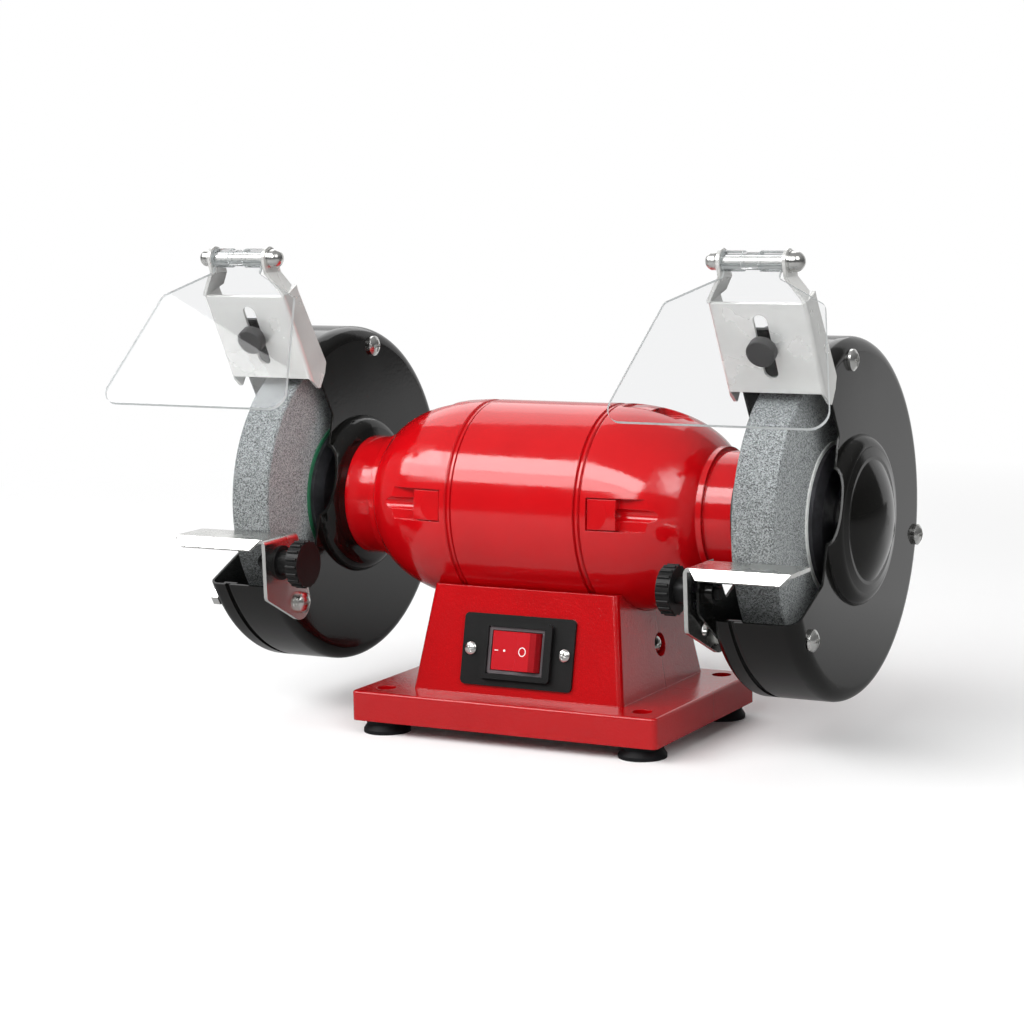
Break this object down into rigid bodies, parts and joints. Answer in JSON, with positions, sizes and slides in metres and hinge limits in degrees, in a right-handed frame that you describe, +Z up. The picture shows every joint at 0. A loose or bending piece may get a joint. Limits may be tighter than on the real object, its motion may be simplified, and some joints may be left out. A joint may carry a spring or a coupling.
{
  "type": "bench grinder",
  "caption": "Double-ended electric bench grinder: motor on a cast pedestal, guarded abrasive wheels at both ends, tool rests, clear eye shields and a rocker switch.",
  "frame": {"origin": "middle of the four bolt holes of the base, on the bench top", "axes": "+X along the shaft towards the right wheel, -Y towards the user and the switch, +Z up"},
  "size_m": [0.3878, 0.2114, 0.247],
  "materials": {
    "red_gloss": "glossy red enamel",
    "red_texture": "red enamel on a sand casting",
    "black_gloss": "semi-gloss black enamel",
    "zinc": "bright zinc plate",
    "steel": "plain turned steel",
    "black_steel": "blackened steel",
    "grit": "vitrified grey abrasive",
    "blotter": "printed paper washer",
    "black_plastic": "satin black moulding",
    "grey_plastic": "grey moulding",
    "dark_grey_plastic": "dark grey moulding",
    "red_rocker": "translucent red moulding",
    "rubber": "black rubber",
    "clear": "clear polycarbonate",
    "copper": "enamelled copper wire",
    "lamination": "stacked steel sheet",
    "aluminium_can": "drawn aluminium can"
  },
  "bodies": {
    "frame": {"base_pedestal": "red_texture", "bottom_cover": "zinc", "cover_screws": "zinc", "rubber_feet": "rubber", "pedestal_screws": "zinc", "switch_plate": "black_plastic", "switch_plate_screws": "zinc", "switch_bezel": "black_plastic", "switch_frame": "grey_plastic", "motor_shell": "red_gloss", "right_end_bell": "red_gloss", "left_end_bell": "red_gloss", "bell_screws": "zinc", "stator_core": "lamination", "stator_windings": "copper", "bearing_outer_races": "steel", "wave_washer": "steel", "capacitor": "aluminium_can", "guard_bolts": "zinc", "guard_nuts": "zinc", "rest_washers": "zinc", "guard_mount_screws": "zinc", "right_guard_deep": "black_gloss", "right_guard_shallow": "black_gloss", "left_guard_deep": "black_gloss", "left_guard_shallow": "black_gloss"},
    "rotor": {"shaft": "steel", "rotor_core": "lamination", "bearing_inner_races": "steel", "bearing_balls": "steel", "right_wheel": "grit", "right_wheel_blotters": "blotter", "right_inner_flange": "black_steel", "right_outer_flange": "black_steel", "right_shaft_nut": "steel", "left_wheel": "grit", "left_wheel_blotters": "blotter", "left_inner_flange": "black_steel", "left_outer_flange": "black_steel", "left_shaft_nut": "steel"},
    "rocker": {"switch_rocker": "red_rocker"},
    "right_bracket": {"right_shield_bracket": "zinc", "right_pivot_bolt": "zinc"},
    "right_shield": {"right_shield_pane": "clear"},
    "right_thumb_screw": {"right_thumb_screw": "dark_grey_plastic"},
    "right_rest": {"right_tool_rest": "zinc"},
    "right_knob": {"right_rest_knob": "black_plastic"},
    "left_bracket": {"left_shield_bracket": "zinc", "left_pivot_bolt": "zinc"},
    "left_shield": {"left_shield_pane": "clear"},
    "left_thumb_screw": {"left_thumb_screw": "dark_grey_plastic"},
    "left_rest": {"left_tool_rest": "zinc"},
    "left_knob": {"left_rest_knob": "black_plastic"}
  },
  "joints": [
    {"name": "rotor_spin", "type": "hinge", "parent": "frame", "child": "rotor", "pos_m": [0, 0.008, 0.113], "axis": [1, 0, 0], "continuous": true},
    {"name": "rocker_tilt", "type": "hinge", "parent": "frame", "child": "rocker", "pos_m": [0, -0.03833, 0.04441], "axis": [0, 0.2224, 0.975], "range_deg": [0, 12]},
    {"name": "right_bracket_slide", "type": "slide", "parent": "frame", "child": "right_bracket", "axis": [0, -0.4612, 0.8873], "range_m": [-0.004, 0.013]},
    {"name": "right_shield_swing", "type": "hinge", "parent": "right_bracket", "child": "right_shield", "pos_m": [0.1405, -0.0645, 0.241], "axis": [-1, 0, 0], "range_deg": [-18, 60]},
    {"name": "right_thumb_screw_turn", "type": "hinge", "parent": "frame", "child": "right_thumb_screw", "pos_m": [0.1405, -0.05293, 0.20106], "axis": [0, 0.8873, 0.4612], "range_deg": [-360, 0]},
    {"name": "right_rest_tilt", "type": "hinge", "parent": "frame", "child": "right_rest", "pos_m": [0.1155, -0.05427, 0.06504], "axis": [1, 0, 0], "range_deg": [-1, 8]},
    {"name": "right_knob_turn", "type": "hinge", "parent": "frame", "child": "right_knob", "pos_m": [0.11, -0.076, 0.0885], "axis": [1, 0, 0], "range_deg": [0, 360]},
    {"name": "left_bracket_slide", "type": "slide", "parent": "frame", "child": "left_bracket", "axis": [0, -0.4612, 0.8873], "range_m": [-0.004, 0.013]},
    {"name": "left_shield_swing", "type": "hinge", "parent": "left_bracket", "child": "left_shield", "pos_m": [-0.1405, -0.0645, 0.241], "axis": [-1, 0, 0], "range_deg": [-18, 60]},
    {"name": "left_thumb_screw_turn", "type": "hinge", "parent": "frame", "child": "left_thumb_screw", "pos_m": [-0.1405, -0.05293, 0.20106], "axis": [0, 0.8873, 0.4612], "range_deg": [-360, 0]},
    {"name": "left_rest_tilt", "type": "hinge", "parent": "frame", "child": "left_rest", "pos_m": [-0.1155, -0.05958, 0.0655], "axis": [1, 0, 0], "range_deg": [-1, 8]},
    {"name": "left_knob_turn", "type": "hinge", "parent": "frame", "child": "left_knob", "pos_m": [-0.11, -0.076, 0.0885], "axis": [-1, 0, 0], "range_deg": [0, 360]}
  ]
}
